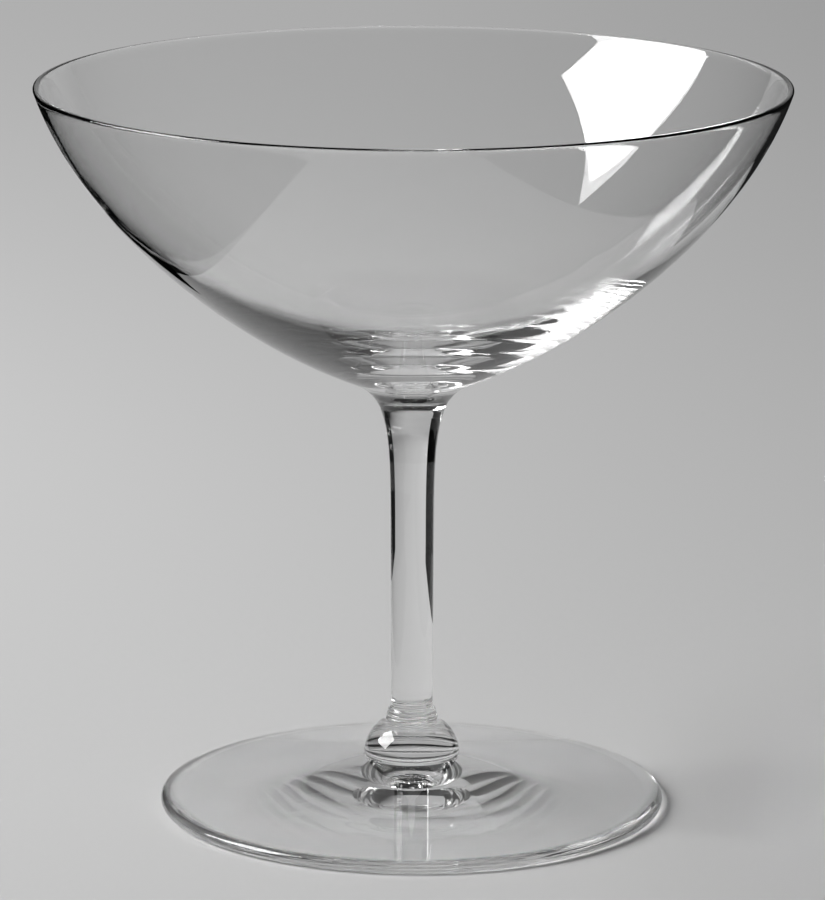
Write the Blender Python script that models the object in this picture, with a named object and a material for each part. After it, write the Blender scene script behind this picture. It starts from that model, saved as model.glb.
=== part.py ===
"""Stemmed sherbet glass: a blown bowl on a drawn stem, with a ringed collar, a knop and a round foot."""

import math

import bmesh
import bpy

# Gap left in the model where two pieces of hot glass are fused
WELD_GAP = 0.0003

# Foot: a shallow cone of glass, hollow underneath, on a narrow flat ring
FOOT_RADIUS = 0.0373
FOOT_EDGE = 0.00185
FOOT_CENTRE_HEIGHT = 0.00735
FOOT_HOLLOW = 0.0031
FOOT_REST_WIDTH = 0.0016

# Knop: a solid dome on the middle of the foot
KNOP_RADIUS = 0.00706
KNOP_TOP_RADIUS = 0.0042
KNOP_HEIGHT = 0.00475
KNOP_TOP_SLOPE = 158

# Collar: a short neck above tooled rings
COLLAR_HEIGHT = 0.00375
COLLAR_BASE_RADIUS = 0.0039
COLLAR_RING_TAPER = 0.00018
COLLAR_RINGS = 3
COLLAR_RING_SWEEP = 60
COLLAR_NECK_HEIGHT = 0.002
COLLAR_NECK_SLOPE = 115

# Stem: a solid rod that thickens slowly and flares out under the bowl
STEM_LENGTH = 0.0455
STEM_RADIUS = 0.0031
STEM_SWELL = 0.00012
STEM_FLARE_LENGTH = 0.0182
STEM_FLARE_START_PULL = 0.49
STEM_FLARE_END_PULL = 0.21
STEM_KNEE_RADIUS = 0.004835
STEM_KNEE_DROP = 0.00225
STEM_KNEE_SLOPE = 61

# Bowl: a thin blown wall that grows thick at the bottom
BOWL_SEAT_RADIUS = 0.0066
BOWL_SEAT_SLOPE = 45
BOWL_BOTTOM = 0.005
BOWL_DEPTH = 0.04045
BOWL_COVE_WIDTH = 0.0039
BOWL_COVE_RISE = 0.00215
BOWL_COVE_SLOPE = 23
RIM_RADIUS = 0.055
RIM_WALL = 0.001
RIM_SLOPE = 71

# Glass: clear and fire-polished, its faint tint deeper in the thicker pieces
GLASS_IOR = 1.52
GLASS_ROUGHNESS = 0.02
BOWL_TINT = (0.96, 0.97, 0.97)
FOOT_TINT = (0.93, 0.95, 0.95)
SOLID_TINT = (0.92, 0.94, 0.94)

# Fineness of the turned surfaces
WIDE_SEGMENTS = 64
SLIM_SEGMENTS = 40
LONG_STEPS = 12
ROUND_STEPS = 7
SHORT_STEPS = 4
CURVE_PULL = 0.32
MERGE_DISTANCE = 1e-6
SHARP_ANGLE = math.radians(35)

# Levels of the fused faces, from the table up
KNOP_BOTTOM = FOOT_CENTRE_HEIGHT + WELD_GAP
KNOP_TOP = KNOP_BOTTOM + KNOP_HEIGHT
COLLAR_BOTTOM = KNOP_TOP + WELD_GAP
COLLAR_TOP = COLLAR_BOTTOM + COLLAR_HEIGHT
STEM_BOTTOM = COLLAR_TOP + WELD_GAP
STEM_TOP = STEM_BOTTOM + STEM_LENGTH
BOWL_UNDERSIDE = STEM_TOP + WELD_GAP
BOWL_FLOOR = BOWL_UNDERSIDE + BOWL_BOTTOM
RIM_HEIGHT = BOWL_FLOOR + BOWL_DEPTH


def towards(angle, distance):
    """Radial and upward parts of a step along an angle in degrees."""
    return (
        distance * math.cos(math.radians(angle)),
        distance * math.sin(math.radians(angle)),
    )


def bend(start, start_slope, end, end_slope, steps, start_pull=CURVE_PULL, end_pull=CURVE_PULL):
    """Points of a smooth curve that leaves start and reaches end at the given slopes."""
    span = math.dist(start, end)
    out_r, out_z = towards(start_slope, span * start_pull)
    in_r, in_z = towards(end_slope, span * end_pull)
    pulls = (
        start,
        (start[0] + out_r, start[1] + out_z),
        (end[0] - in_r, end[1] - in_z),
        end,
    )
    points = []
    for step in range(steps + 1):
        t = step / steps
        shares = ((1 - t) ** 3, 3 * t * (1 - t) ** 2, 3 * t * t * (1 - t), t**3)
        radius = sum(share * pull[0] for share, pull in zip(shares, pulls))
        height = sum(share * pull[1] for share, pull in zip(shares, pulls))
        points.append((radius, height))
    return points


def arc(centre, radius, first, last, steps):
    """Points of a round stretch about a centre, between two angles in degrees."""
    points = []
    for step in range(steps + 1):
        across, up = towards(first + (last - first) * step / steps, radius)
        points.append((centre[0] + across, centre[1] + up))
    return points


def clear_glass(name, tint):
    """Smooth colourless glass with a faint tint of its own."""
    material = bpy.data.materials.new(name)
    material.use_nodes = True
    shader = material.node_tree.nodes["Principled BSDF"]
    shader.inputs["Base Color"].default_value = (*tint, 1)
    shader.inputs["Metallic"].default_value = 0
    shader.inputs["Roughness"].default_value = GLASS_ROUGHNESS
    shader.inputs["IOR"].default_value = GLASS_IOR
    shader.inputs["Transmission Weight"].default_value = 1
    return material


def turned(name, outline, segments, material):
    """A solid of revolution about the upright axis, from an outline of radii and heights."""
    shape = bmesh.new()
    points = [shape.verts.new((radius, 0, height)) for radius, height in outline]
    edges = [shape.edges.new(pair) for pair in zip(points, points[1:])]
    bmesh.ops.spin(
        shape,
        geom=points + edges,
        cent=(0, 0, 0),
        axis=(0, 0, 1),
        angle=math.tau,
        steps=segments,
        use_merge=True,
    )
    bmesh.ops.remove_doubles(shape, verts=shape.verts, dist=MERGE_DISTANCE)
    bmesh.ops.recalc_face_normals(shape, faces=shape.faces)
    mesh = bpy.data.meshes.new(name)
    shape.to_mesh(mesh)
    shape.free()
    mesh.materials.append(material)
    mesh.shade_smooth()
    mesh.set_sharp_from_angle(angle=SHARP_ANGLE)
    piece = bpy.data.objects.new(name, mesh)
    bpy.context.scene.collection.objects.link(piece)


def foot_outline():
    """Hollow underside, flat resting ring, rounded edge and sloping top."""
    edge_radius = FOOT_EDGE / 2
    rest_outside = FOOT_RADIUS - edge_radius
    rest_inside = rest_outside - FOOT_REST_WIDTH
    top_slope = math.degrees(math.atan2(FOOT_CENTRE_HEIGHT - FOOT_EDGE, rest_outside - KNOP_RADIUS))
    outline = []
    for step in range(LONG_STEPS + 1):
        share = step / LONG_STEPS
        outline.append((rest_inside * share, FOOT_HOLLOW * (1 - share**2)))
    outline += arc((rest_outside, edge_radius), edge_radius, -90, 90 - top_slope, ROUND_STEPS)
    outline.append((KNOP_RADIUS, FOOT_CENTRE_HEIGHT))
    outline.append((0, FOOT_CENTRE_HEIGHT))
    return outline


def knop_outline():
    """Upright at the foot, rounding over to the collar."""
    base = (KNOP_RADIUS, KNOP_BOTTOM)
    dome = bend(base, 90, (KNOP_TOP_RADIUS, KNOP_TOP), KNOP_TOP_SLOPE, LONG_STEPS)
    return [(0, KNOP_BOTTOM), *dome, (0, KNOP_TOP)]


def collar_outline():
    """Fine half-round rings, each a little narrower than the one below, then the neck."""
    pitch = (COLLAR_HEIGHT - COLLAR_NECK_HEIGHT) / COLLAR_RINGS
    bead = pitch / 2 / math.sin(math.radians(COLLAR_RING_SWEEP))
    outline = [(0, COLLAR_BOTTOM)]
    for ring in range(COLLAR_RINGS):
        ring_radius = COLLAR_BASE_RADIUS - COLLAR_RING_TAPER * ring
        centre = (ring_radius - bead, COLLAR_BOTTOM + pitch * (ring + 0.5))
        outline += arc(centre, bead, -COLLAR_RING_SWEEP, COLLAR_RING_SWEEP, SHORT_STEPS)
    neck_bottom = outline.pop()
    outline += bend(neck_bottom, COLLAR_NECK_SLOPE, (STEM_RADIUS, COLLAR_TOP), 90, SHORT_STEPS)
    outline.append((0, COLLAR_TOP))
    return outline


def stem_outline():
    """Long slow taper, the start of the flare up to its knee, then the cup under the bowl."""
    flare_start = (STEM_RADIUS + STEM_SWELL, STEM_TOP - STEM_FLARE_LENGTH)
    rod_slope = math.degrees(math.atan2(STEM_LENGTH - STEM_FLARE_LENGTH, STEM_SWELL))
    knee = (STEM_KNEE_RADIUS, STEM_TOP - STEM_KNEE_DROP)
    step_in = WELD_GAP / math.tan(math.radians(BOWL_SEAT_SLOPE))
    flare_end = (BOWL_SEAT_RADIUS - step_in, STEM_TOP)
    flare = bend(
        flare_start,
        rod_slope,
        knee,
        STEM_KNEE_SLOPE,
        LONG_STEPS,
        STEM_FLARE_START_PULL,
        STEM_FLARE_END_PULL,
    )
    cup = bend(knee, STEM_KNEE_SLOPE, flare_end, BOWL_SEAT_SLOPE, SHORT_STEPS)
    return [(0, STEM_BOTTOM), (STEM_RADIUS, STEM_BOTTOM), *flare, *cup[1:], (0, STEM_TOP)]


def bowl_outline():
    """Cove above the stem, swelling outer wall, fire-polished rim, then the inside down to its floor."""
    rim_round = RIM_WALL / 2
    rim_centre = (RIM_RADIUS - rim_round, RIM_HEIGHT - rim_round)
    rim = arc(rim_centre, rim_round, RIM_SLOPE - 90, RIM_SLOPE + 90, ROUND_STEPS)
    seat = (BOWL_SEAT_RADIUS, BOWL_UNDERSIDE)
    wall_foot = (BOWL_SEAT_RADIUS + BOWL_COVE_WIDTH, BOWL_UNDERSIDE + BOWL_COVE_RISE)
    cove = bend(seat, BOWL_SEAT_SLOPE, wall_foot, BOWL_COVE_SLOPE, SHORT_STEPS)
    outside = bend(wall_foot, BOWL_COVE_SLOPE, rim[0], RIM_SLOPE, LONG_STEPS)
    inside = bend(rim[-1], RIM_SLOPE + 180, (0, BOWL_FLOOR), 180, LONG_STEPS)
    return [(0, BOWL_UNDERSIDE), *cove, *outside[1:], *rim[1:-1], *inside]


for old in list(bpy.data.objects):
    bpy.data.objects.remove(old)

turned("foot", foot_outline(), WIDE_SEGMENTS, clear_glass("foot_glass", FOOT_TINT))
turned("knop", knop_outline(), SLIM_SEGMENTS, clear_glass("knop_glass", SOLID_TINT))
turned("collar", collar_outline(), SLIM_SEGMENTS, clear_glass("collar_glass", SOLID_TINT))
turned("stem", stem_outline(), SLIM_SEGMENTS, clear_glass("stem_glass", SOLID_TINT))
turned("bowl", bowl_outline(), WIDE_SEGMENTS, clear_glass("bowl_glass", BOWL_TINT))
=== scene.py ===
import math

import bmesh
import bpy
from mathutils import Matrix, Vector, geometry, noise


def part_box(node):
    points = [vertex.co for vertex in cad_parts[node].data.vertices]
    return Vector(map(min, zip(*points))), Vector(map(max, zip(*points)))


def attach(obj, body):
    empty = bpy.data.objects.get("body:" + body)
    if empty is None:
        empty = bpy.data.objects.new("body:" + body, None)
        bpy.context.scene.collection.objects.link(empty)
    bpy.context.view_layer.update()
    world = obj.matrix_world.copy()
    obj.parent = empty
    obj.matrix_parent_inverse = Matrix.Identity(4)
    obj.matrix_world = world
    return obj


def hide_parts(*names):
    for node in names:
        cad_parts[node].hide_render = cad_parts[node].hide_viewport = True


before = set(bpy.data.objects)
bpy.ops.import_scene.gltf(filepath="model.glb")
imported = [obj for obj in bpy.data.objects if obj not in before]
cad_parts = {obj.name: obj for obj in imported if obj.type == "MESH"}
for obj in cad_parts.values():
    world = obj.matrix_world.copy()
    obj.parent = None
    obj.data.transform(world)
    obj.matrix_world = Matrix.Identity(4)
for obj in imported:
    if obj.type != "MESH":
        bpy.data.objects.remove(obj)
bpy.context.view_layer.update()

# Bowl
# A wide bowl blown from one gather of clear glass, under a millimetre thick at the rim and
# thickening down to a solid bottom. The rim is fire-polished round, the stem is fused below.
bowl_low, bowl_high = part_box("bowl")
stem_low, stem_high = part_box("stem")
bowl_seam = (bowl_low.z + stem_high.z) / 2
bowl_seam_radius = 0.00645
bowl_floor = bowl_low.z + 0.005
rim_round = 0.0004
rim_slope = 71
seat_slope = 45
cove_slope = 23
cove_end = (0.0105, bowl_low.z + 0.00215)
inside_pull = 0.33
rim_points = 17
cove_points = 14
wall_points = 70
inside_points = 80
wide_segments = 240
bowl_waviness = 0.00001
bowl_ripple = 0.000001


def bend(start, start_slope, end, end_slope, count, start_pull=0.32, end_pull=0.32):
    """Points of a curve that leaves start and reaches end at the given slopes."""
    start = Vector((start[0], 0, start[1]))
    end = Vector((end[0], 0, end[1]))
    span = (end - start).length
    leave = Vector((span * start_pull, 0, 0)) @ Matrix.Rotation(math.radians(start_slope), 3, "Y")
    reach = Vector((span * end_pull, 0, 0)) @ Matrix.Rotation(math.radians(end_slope), 3, "Y")
    return geometry.interpolate_bezier(start, start + leave, end - reach, end, count)


def round_over(centre, radius, first, last, count):
    """Points of a round stretch about a centre, between two angles."""
    points = []
    for step in range(count):
        angle = math.radians(first + (last - first) * step / (count - 1))
        across = radius * math.cos(angle)
        up = radius * math.sin(angle)
        points.append(Vector((centre[0] + across, 0, centre[1] + up)))
    return points


def turn(name, outline, segments, seams, waviness):
    """Turns an outline about the upright axis. Fused faces at seams wear the second material."""
    merge_distance = 1e-7
    broad_waves = 70
    fine_waves = 160
    fine_start = Vector((3, 1, 7))
    fine_share = 0.5
    seam_fade = 0.003
    sharp_angle = 32
    shape = bmesh.new()
    points = [shape.verts.new(point) for point in outline]
    lines = [shape.edges.new(pair) for pair in zip(points, points[1:])]
    bmesh.ops.spin(
        shape,
        geom=points + lines,
        axis=(0, 0, 1),
        angle=math.tau,
        steps=segments,
        use_merge=True,
    )
    bmesh.ops.remove_doubles(shape, verts=shape.verts, dist=merge_distance)
    bmesh.ops.recalc_face_normals(shape, faces=shape.faces)
    for face in shape.faces:
        face.smooth = True
        for seam in seams:
            if all(abs(vert.co.z - seam) < merge_distance for vert in face.verts):
                face.material_index = 1
    shape.normal_update()
    shifts = []
    for vert in shape.verts:
        away = min(abs(vert.co.z - seam) for seam in seams)
        swell = noise.noise(vert.co * broad_waves)
        swell += fine_share * noise.noise(vert.co * fine_waves + fine_start)
        shifts.append(vert.normal * (waviness * swell * min(1, away / seam_fade)))
    for vert, shift in zip(shape.verts, shifts):
        vert.co += shift
    mesh = bpy.data.meshes.new(name)
    shape.to_mesh(mesh)
    shape.free()
    mesh.set_sharp_from_angle(angle=math.radians(sharp_angle))
    piece = bpy.data.objects.new(name, mesh)
    bpy.context.scene.collection.objects.link(piece)
    return piece


class Look:
    """One output of a material's nodes. Sums on it add Math nodes, and make adds any other node."""

    def __init__(self, socket):
        self.socket = socket

    def make(self, kind, settings, sockets, output=0):
        tree = self.socket.id_data
        node = tree.nodes.new(kind)
        for name, value in settings.items():
            setattr(node, name, value)
        for name, value in sockets.items():
            if isinstance(value, Look):
                tree.links.new(value.socket, node.inputs[name])
            else:
                node.inputs[name].default_value = value
        return Look(node.outputs[output])

    def sum(self, operation, first, second):
        return self.make("ShaderNodeMath", {"operation": operation}, {0: first, 1: second})

    def __add__(self, other):
        return self.sum("ADD", self, other)

    def __radd__(self, other):
        return self.sum("ADD", other, self)

    def __sub__(self, other):
        return self.sum("SUBTRACT", self, other)

    def __rsub__(self, other):
        return self.sum("SUBTRACT", other, self)

    def __mul__(self, other):
        return self.sum("MULTIPLY", self, other)

    def __rmul__(self, other):
        return self.sum("MULTIPLY", other, self)

    def __pow__(self, other):
        return self.sum("POWER", self, other)


def clear_glass(name, ripple):
    """Clear fire-polished glass with faint ripples, wipe marks and a slightly uneven tint."""
    glass_ior = 1.52
    smear_scale = 45
    ring_scale = (25, 25, 900)
    most_rough = 0.03
    thin_tint = (0.995, 0.995, 0.995, 1)
    deep_tint = (0.98, 0.982, 0.982, 1)
    material = bpy.data.materials.new(name)
    material.use_nodes = True
    tree = material.node_tree
    shader = tree.nodes["Principled BSDF"]
    shader.inputs["IOR"].default_value = glass_ior
    shader.inputs["Transmission Weight"].default_value = 1
    place = Look(tree.nodes.new("ShaderNodeTexCoord").outputs["Object"])
    smears = place.make(
        "ShaderNodeTexNoise", {}, {"Vector": place, "Scale": smear_scale, "Detail": 4}
    )
    stretched = place.make("ShaderNodeMapping", {}, {"Vector": place, "Scale": ring_scale})
    rings = place.make("ShaderNodeTexNoise", {}, {"Vector": stretched, "Scale": 1, "Detail": 2})
    roughness = most_rough * smears ** 3
    tint = place.make(
        "ShaderNodeMix",
        {"data_type": "RGBA"},
        {"Factor": smears, 6: thin_tint, 7: deep_tint},
        2,
    )
    bump = place.make("ShaderNodeBump", {}, {"Strength": 1, "Distance": ripple, "Height": rings})
    tree.links.new(tint.socket, shader.inputs["Base Color"])
    tree.links.new(roughness.socket, shader.inputs["Roughness"])
    tree.links.new(bump.socket, shader.inputs["Normal"])
    return material


fused_face = bpy.data.materials.new("fused_face")
fused_face.use_nodes = True
fused_tree = fused_face.node_tree
fused_tree.nodes.remove(fused_tree.nodes["Principled BSDF"])
see_through = fused_tree.nodes.new("ShaderNodeBsdfTransparent")
fused_tree.links.new(see_through.outputs[0], fused_tree.nodes["Material Output"].inputs["Surface"])

rim_centre = (bowl_high.x - rim_round, bowl_high.z - rim_round)
rim = round_over(rim_centre, rim_round, rim_slope - 90, rim_slope + 90, rim_points)
rim_out = (rim[0].x, rim[0].z)
rim_in = (rim[-1].x, rim[-1].z)
bowl_outline = [Vector((0, 0, bowl_seam))]
seat = (bowl_seam_radius, bowl_seam)
bowl_outline += bend(seat, seat_slope, cove_end, cove_slope, cove_points)
bowl_outline += bend(cove_end, cove_slope, rim_out, rim_slope, wall_points)[1:]
bowl_outline += rim[1:]
bowl_inside = bend(
    rim_in, rim_slope + 180, (0, bowl_floor), 180, inside_points, inside_pull, inside_pull
)
bowl_outline += bowl_inside[1:]
bowl = turn("blown_bowl", bowl_outline, wide_segments, [bowl_seam], bowl_waviness)
bowl.data.materials.append(clear_glass("bowl_clear_glass", bowl_ripple))
bowl.data.materials.append(fused_face)
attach(bowl, "root")
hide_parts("bowl")

# Stem
# A solid rod drawn from the bottom of the bowl while hot. It thickens slowly upwards and
# flares at the top into a small cup of glass that carries the bowl.
collar_low, collar_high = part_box("collar")
stem_seam = (stem_low.z + collar_high.z) / 2
stem_radius = 0.0031
flare_start = (0.00322, stem_high.z - 0.0182)
knee = (0.0047, stem_high.z - 0.0025)
knee_slope = 70
cup_slope = 74
rod_slope = 89.75
flare_start_pull = 0.6
flare_end_pull = 0.2
rod_points = 40
flare_points = 50
cup_points = 16
slim_segments = 120
solid_waviness = 0.000004
solid_ripple = 0.000001

stem_outline = [Vector((0, 0, stem_seam))]
stem_outline += bend((stem_radius, stem_seam), rod_slope, flare_start, rod_slope, rod_points)
stem_flare = bend(
    flare_start, rod_slope, knee, knee_slope, flare_points, flare_start_pull, flare_end_pull
)
stem_outline += stem_flare[1:]
stem_outline += bend(knee, cup_slope, seat, seat_slope, cup_points)[1:]
stem_outline.append(Vector((0, 0, bowl_seam)))
stem_seams = [stem_seam, bowl_seam]
stem = turn("drawn_stem", stem_outline, slim_segments, stem_seams, solid_waviness)
stem.data.materials.append(clear_glass("stem_clear_glass", solid_ripple))
stem.data.materials.append(fused_face)
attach(stem, "root")
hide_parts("stem")

# Collar
# Fine rings pressed into the hot glass with a tool where the stem meets the knop,
# each a little narrower than the one below, with a short neck above them.
knop_low, knop_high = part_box("knop")
collar_seam = (collar_low.z + knop_high.z) / 2
collar_radius = 0.0039
ring_count = 3
ring_taper = 0.00018
ring_sweep = 60
neck_height = 0.002
neck_slope = 115
ring_points = 13
neck_points = 16
ring_pitch = (collar_high.z - collar_low.z - neck_height) / ring_count
ring_round = ring_pitch / 2 / math.sin(math.radians(ring_sweep))
collar_seam_radius = collar_radius - ring_round * (1 - math.cos(math.radians(ring_sweep)))

collar_outline = [Vector((0, 0, collar_seam)), Vector((collar_seam_radius, 0, collar_seam))]
for ring in range(ring_count):
    ring_radius = collar_radius - ring_taper * ring
    ring_centre = (ring_radius - ring_round, collar_low.z + ring_pitch * (ring + 0.5))
    collar_outline += round_over(ring_centre, ring_round, -ring_sweep, ring_sweep, ring_points)
neck_start = (collar_outline[-1].x, collar_outline[-1].z)
neck_end = (stem_radius, collar_high.z)
collar_outline += bend(neck_start, neck_slope, neck_end, 90, neck_points)[1:]
collar_outline.append(Vector((stem_radius, 0, stem_seam)))
collar_outline.append(Vector((0, 0, stem_seam)))
collar_seams = [collar_seam, stem_seam]
collar = turn("ringed_collar", collar_outline, slim_segments, collar_seams, solid_waviness)
collar.data.materials.append(clear_glass("collar_clear_glass", solid_ripple))
collar.data.materials.append(fused_face)
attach(collar, "root")
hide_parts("collar")

# Knop
# A solid button of clear glass, dropped hot on the middle of the foot and fused to it,
# and rounded over at the top where the collar is fused on.
foot_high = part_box("foot")[1]
knop_seam = (knop_low.z + foot_high.z) / 2
knop_radius = 0.00706
knop_top = (0.0042, knop_high.z)
knop_top_slope = 158
dome_points = 40
knop_segments = 160
knop_waviness = 0.000008

knop_outline = [Vector((0, 0, knop_seam)), Vector((knop_radius, 0, knop_seam))]
knop_outline += bend((knop_radius, knop_low.z), 90, knop_top, knop_top_slope, dome_points)
knop_outline.append(Vector((collar_seam_radius, 0, collar_seam)))
knop_outline.append(Vector((0, 0, collar_seam)))
knop_seams = [knop_seam, collar_seam]
knop = turn("domed_knop", knop_outline, knop_segments, knop_seams, knop_waviness)
knop.data.materials.append(clear_glass("knop_clear_glass", solid_ripple))
knop.data.materials.append(fused_face)
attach(knop, "root")
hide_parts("knop")

# Foot
# A round foot opened out flat from a second gather: a shallow cone above, a hollow below,
# and a rounded edge that stands on a narrow flat ring.
foot_edge = 0.00185
foot_hollow = 0.0031
foot_rest = 0.0016
hollow_steps = 48
edge_points = 19
top_points = 48
foot_waviness = 0.000008
foot_ripple = 0.0000015
foot_round = foot_edge / 2
rest_outside = foot_high.x - foot_round
rest_inside = rest_outside - foot_rest
top_slope = math.degrees(math.atan2(foot_high.z - foot_edge, rest_outside - knop_radius))

foot_outline = []
for step in range(hollow_steps + 1):
    share = step / hollow_steps
    foot_outline.append(Vector((rest_inside * share, 0, foot_hollow * (1 - share ** 2))))
edge_centre = (rest_outside, foot_round)
foot_outline += round_over(edge_centre, foot_round, -90, 90 - top_slope, edge_points)
edge_end = (foot_outline[-1].x, foot_outline[-1].z)
inward_slope = 180 - top_slope
top_end = (knop_radius, foot_high.z)
foot_outline += bend(edge_end, inward_slope, top_end, inward_slope, top_points)[1:]
foot_outline.append(Vector((knop_radius, 0, knop_seam)))
foot_outline.append(Vector((0, 0, knop_seam)))
foot = turn("round_foot", foot_outline, wide_segments, [knop_seam], foot_waviness)
foot.data.materials.append(clear_glass("foot_clear_glass", foot_ripple))
foot.data.materials.append(fused_face)
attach(foot, "root")
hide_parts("foot")

# Backdrop
# A pale grey sheet of paper that lies on the table and sweeps up far behind the glass.
# Its far part glows a little with painted light that only the camera and the glass see and that
# lights nothing. The glow is painted weaker to the right, and weaker still high up on the right of
# the wall. Its colour is painted darker under the lamp as painted shade, so that it stays even.
sheet_grey = 0.445
under_lamp = (-0.55, 0, 0)
lamp_near = 0.15
lamp_far = 0.56
lamp_shade = 0.31
glow_centre = (0, -0.15, 0)
glow_base = 0.06
glow_rise = 0.25
glow_fall_right = 0.15
corner_width = 0.15
corner_start = 0.36
corner_fall = 0.5
wall_fall = 0.8
most_glow = 0.4
sheet_drop = 0.00005
sheet_left = -1.26
sheet_right = 2
sheet_front = -1.6
sweep_start = 1.6
sweep_radius = 0.5
sweep_steps = 12
sheet_top = 1.7

sheet_material = bpy.data.materials.new("grey_sheet")
sheet_material.use_nodes = True
sheet_tree = sheet_material.node_tree
sheet_shader = sheet_tree.nodes["Principled BSDF"]
sheet_shader.inputs["Roughness"].default_value = 0.9
sheet_shader.inputs["Specular IOR Level"].default_value = 0
sheet_shader.inputs["Emission Strength"].default_value = 1
sheet_place = Look(sheet_tree.nodes.new("ShaderNodeTexCoord").outputs["Object"])
across = sheet_place.make("ShaderNodeSeparateXYZ", {}, {"Vector": sheet_place}, "X")
up = sheet_place.make("ShaderNodeSeparateXYZ", {}, {"Vector": sheet_place}, "Z")
from_front = sheet_place.make(
    "ShaderNodeVectorMath", {"operation": "DISTANCE"}, {0: sheet_place, 1: glow_centre}, 1
)
from_lamp = sheet_place.make(
    "ShaderNodeVectorMath", {"operation": "DISTANCE"}, {0: sheet_place, 1: under_lamp}, 1
)
# Painted shade: the sheet's colour is made darker near the spot under the lamp.
grey = sheet_grey * from_lamp.make(
    "ShaderNodeMapRange",
    {"interpolation_type": "SMOOTHSTEP"},
    {
        "Value": from_lamp,
        "From Min": lamp_near,
        "From Max": lamp_far,
        "To Min": lamp_shade,
        "To Max": 1,
    },
)
sheet_colour = grey.make(
    "ShaderNodeCombineColor", {}, {"Red": grey, "Green": grey, "Blue": grey}
)
sheet_tree.links.new(sheet_colour.socket, sheet_shader.inputs["Base Color"])
right = across.make("ShaderNodeClamp", {}, {"Value": across, "Min": 0, "Max": corner_width})
# Painted light: a glow that only the camera and the glass see, weaker to the right and weaker still
# high up on the right of the wall.
level = glow_base + glow_rise * from_front - glow_fall_right * across
level = level - corner_fall * right * (from_front - corner_start)
level = level * (1 - wall_fall * across * up)
level = level.make("ShaderNodeClamp", {}, {"Value": level, "Min": 0, "Max": most_glow})
glow = level.make(
    "ShaderNodeCombineColor", {}, {"Red": level, "Green": level, "Blue": level}
)
sheet_tree.links.new(glow.socket, sheet_shader.inputs["Emission Color"])
sheet_rays = sheet_tree.nodes.new("ShaderNodeLightPath").outputs
seen = Look(sheet_rays["Is Camera Ray"]) + Look(sheet_rays["Is Glossy Ray"])
seen = seen + Look(sheet_rays["Is Transmission Ray"])
sheet_without_glow = seen.make(
    "ShaderNodeBsdfPrincipled",
    {},
    {"Base Color": sheet_colour, "Roughness": 1, "Specular IOR Level": 0},
)
glowing = Look(sheet_shader.outputs[0])
shown = seen.make("ShaderNodeMixShader", {}, {0: seen, 1: sheet_without_glow, 2: glowing})
sheet_tree.links.new(shown.socket, sheet_tree.nodes["Material Output"].inputs["Surface"])

sheet_outline = [Vector((sheet_left, sheet_front, -sheet_drop))]
for step in range(sweep_steps + 1):
    lift = math.radians(90 * step / sweep_steps)
    back = sweep_start + sweep_radius * math.sin(lift)
    height = sweep_radius * (1 - math.cos(lift)) - sheet_drop
    sheet_outline.append(Vector((sheet_left, back, height)))
sheet_outline.append(Vector((sheet_left, sweep_start + sweep_radius, sheet_top)))
sheet_shape = bmesh.new()
sheet_points = [sheet_shape.verts.new(point) for point in sheet_outline]
sheet_lines = [sheet_shape.edges.new(pair) for pair in zip(sheet_points, sheet_points[1:])]
widened = bmesh.ops.extrude_edge_only(sheet_shape, edges=sheet_lines)
far_side = [part for part in widened["geom"] if isinstance(part, bmesh.types.BMVert)]
bmesh.ops.translate(sheet_shape, verts=far_side, vec=(sheet_right - sheet_left, 0, 0))
for face in sheet_shape.faces:
    face.smooth = True
sheet_mesh = bpy.data.meshes.new("grey_sheet")
sheet_shape.to_mesh(sheet_mesh)
sheet_shape.free()
sheet_mesh.materials.append(sheet_material)
sheet = bpy.data.objects.new("grey_sheet", sheet_mesh)
bpy.context.scene.collection.objects.link(sheet)

# Black cards
# Two black cards lie on the sheet beside the glass and five stand further back, out of
# the picture. Only the glass shows them, where it mirrors or bends light, and its edges turn dark.
# They are painted dark reflections: the camera, the shadows and the sheet never see them.
dark_edge_black = (0.01, 0.01, 0.01, 1)
card_lift = 0.0002
standing_height = 0.125
mid_stem = (0, 0, 0.04)
stem_reach = 0.008
most_bends = 2.5
least_bounce = 0.5


def black_card(name, for_stem):
    """Black card as a painted dark reflection, shown in reflections, or else only straight through
    the stem.
    """
    material = bpy.data.materials.new(name)
    material.use_nodes = True
    tree = material.node_tree
    shader = tree.nodes["Principled BSDF"]
    shader.inputs["Base Color"].default_value = dark_edge_black
    shader.inputs["Roughness"].default_value = 1
    shader.inputs["Specular IOR Level"].default_value = 0
    rays = tree.nodes.new("ShaderNodeLightPath").outputs
    # Painted dark reflection: the card shows black only to rays that the glass has mirrored, or,
    # for the stem cards, bent straight through the stem.
    bounces = Look(rays["Glossy Depth"])
    dark = bounces.sum("GREATER_THAN", bounces, least_bounce)
    if for_stem:
        place = Look(tree.nodes.new("ShaderNodeTexCoord").outputs["Object"])
        away = place.make(
            "ShaderNodeVectorMath", {"operation": "SUBTRACT"}, {0: place, 1: mid_stem}
        )
        reach = away.make("ShaderNodeVectorMath", {"operation": "LENGTH"}, {0: away}, 1)
        from_stem = reach.sum("GREATER_THAN", Look(rays["Ray Length"]), reach - stem_reach)
        bends = Look(rays["Transmission Depth"])
        dark = (1 - dark) * from_stem * bends.sum("LESS_THAN", bends, most_bends)
    dark = dark * bounces.sum("LESS_THAN", Look(rays["Diffuse Depth"]), least_bounce)
    clear = dark.make("ShaderNodeBsdfTransparent", {}, {})
    black = Look(shader.outputs[0])
    shown = dark.make("ShaderNodeMixShader", {}, {0: dark, 1: clear, 2: black})
    tree.links.new(shown.socket, tree.nodes["Material Output"].inputs["Surface"])
    return material


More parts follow.
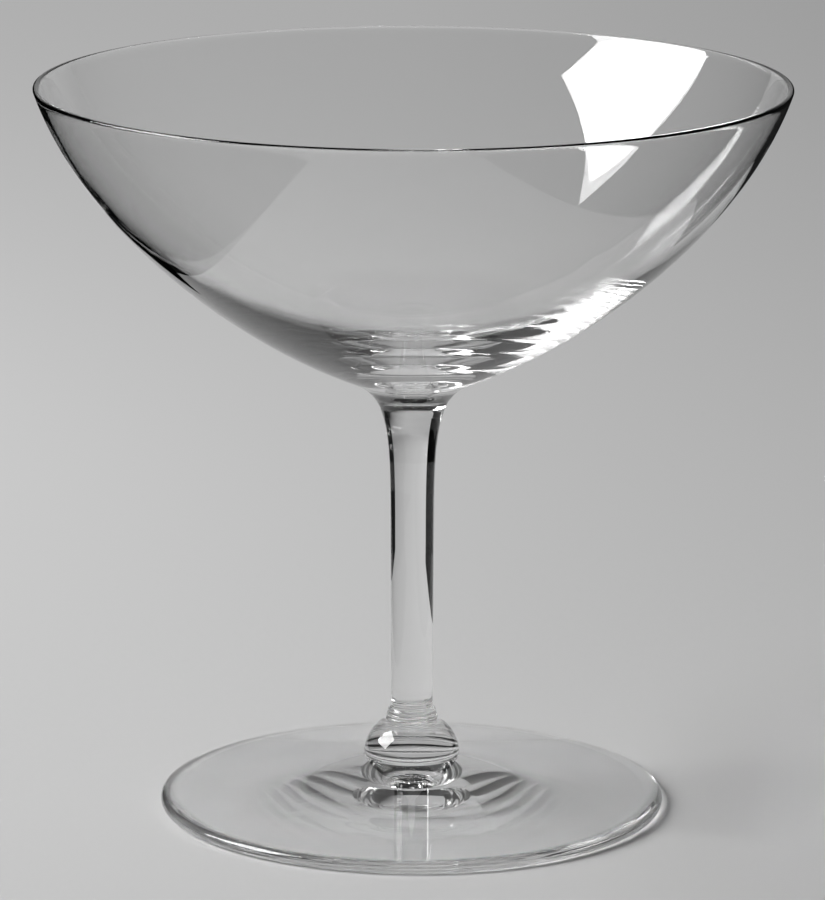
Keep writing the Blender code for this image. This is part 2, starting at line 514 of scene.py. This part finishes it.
def set_card(name, shape, material):
    """Makes a card of its shape, and keeps it out of the picture and the shadows."""
    mesh = bpy.data.meshes.new(name)
    shape.to_mesh(mesh)
    shape.free()
    mesh.materials.append(material)
    card = bpy.data.objects.new(name, mesh)
    # Hidden from the camera, the shadows and the sheet, the card exists only as a painted dark
    # reflection in the glass.
    card.visible_camera = False
    card.visible_shadow = False
    card.visible_diffuse = False
    bpy.context.scene.collection.objects.link(card)


dark_reflection_card = black_card("dark_reflection_card", False)
stem_card = black_card("stem_card", True)
for name, near, far, spread, material in (
    ("left_flat_card", (-0.0715, -0.12), (-0.0905, 0.3), (-1.1, 0, 0), dark_reflection_card),
    ("right_flat_card", (0.007, -0.25), (0.3, 0.52), (1.7, 0, 0), dark_reflection_card),
    ("left_stem_card", (-0.1, 0.03), (-0.0695, 0.1307), (0, 0, standing_height), stem_card),
    ("right_stem_card", (0.13, 0.03), (0.1037, 0.1192), (0, 0, standing_height), stem_card),
):
    card_shape = bmesh.new()
    ends = [card_shape.verts.new((*end, card_lift)) for end in (near, far)]
    widened = bmesh.ops.extrude_edge_only(card_shape, edges=[card_shape.edges.new(ends)])
    far_side = [part for part in widened["geom"] if isinstance(part, bmesh.types.BMVert)]
    bmesh.ops.translate(card_shape, verts=far_side, vec=spread)
    set_card(name, card_shape, material)

bent_radius = 0.15
bent_steps = 16
raised_foot = 0.05
for name, first, sweep, card_foot in (
    ("left_bent_card", 28, 45, card_lift),
    ("right_bent_card", -41, -36, card_lift),
    ("raised_bent_card", -24, -17, raised_foot),
):
    card_shape = bmesh.new()
    ends = [card_shape.verts.new((0, bent_radius, end)) for end in (card_foot, standing_height)]
    turned = Matrix.Rotation(math.radians(first), 3, "Z")
    bmesh.ops.rotate(card_shape, verts=ends, cent=(0, 0, 0), matrix=turned)
    bmesh.ops.spin(
        card_shape,
        geom=ends + [card_shape.edges.new(ends)],
        cent=(0, 0, 0),
        axis=(0, 0, 1),
        angle=math.radians(sweep),
        steps=bent_steps,
    )
    set_card(name, card_shape, dark_reflection_card)

# Light
# One large softbox up on the left, turned down to the glass and a little towards the camera.
# The room around it is dim, and only the camera sees it as pale as the sheet.
softbox_width = 0.58
softbox_height = 0.5
softbox_watts = 12.3
softbox_place = (-0.669, -0.036, 0.5)
softbox_aim = Vector((0.809, -0.206, -0.55))
room_dim = (0.012, 0.012, 0.012, 1)
room_pale = (0.4, 0.4, 0.4, 1)

softbox_light = bpy.data.lights.new("softbox", "AREA")
softbox_light.shape = "RECTANGLE"
softbox_light.size = softbox_width
softbox_light.size_y = softbox_height
softbox_light.energy = softbox_watts
softbox = bpy.data.objects.new("softbox", softbox_light)
softbox.location = softbox_place
softbox.rotation_euler = softbox_aim.to_track_quat("-Z", "Y").to_euler()
bpy.context.scene.collection.objects.link(softbox)

room = bpy.data.worlds.new("room")
room.use_nodes = True
room_tree = room.node_tree
dim = room_tree.nodes["Background"]
dim.inputs["Color"].default_value = room_dim
to_camera = Look(room_tree.nodes.new("ShaderNodeLightPath").outputs["Is Camera Ray"])
pale = to_camera.make("ShaderNodeBackground", {}, {"Color": room_pale, "Strength": 1})
room_shown = to_camera.make(
    "ShaderNodeMixShader", {}, {0: to_camera, 1: Look(dim.outputs[0]), 2: pale}
)
room_tree.links.new(room_shown.socket, room_tree.nodes["World Output"].inputs["Surface"])
bpy.context.scene.world = room

# Camera
# A long lens, square on to the glass and a little above its rim, tilted down to take it all in.
# Light may bend and bounce often enough to cross the thick glass many times.
lens_length = 225.16
film_height = 36
camera_place = (0, -0.8049, 0.2407)
camera_pitch = 13.088
camera_roll = 0.15
light_bounces = 40
clear_bounces = 48

camera_data = bpy.data.cameras.new("camera")
camera_data.sensor_fit = "VERTICAL"
camera_data.sensor_height = film_height
camera_data.lens = lens_length
camera = bpy.data.objects.new("camera", camera_data)
camera.location = camera_place
pitch = Matrix.Rotation(math.radians(90 - camera_pitch), 3, "X")
roll = Matrix.Rotation(math.radians(camera_roll), 3, "Z")
camera.rotation_euler = (pitch @ roll).to_euler()
bpy.context.scene.collection.objects.link(camera)
bpy.context.scene.camera = camera

bpy.context.scene.view_settings.view_transform = "Standard"
bpy.context.scene.cycles.max_bounces = light_bounces
bpy.context.scene.cycles.transmission_bounces = light_bounces
bpy.context.scene.cycles.glossy_bounces = light_bounces
bpy.context.scene.cycles.transparent_max_bounces = clear_bounces
bpy.context.scene.cycles.blur_glossy = 0
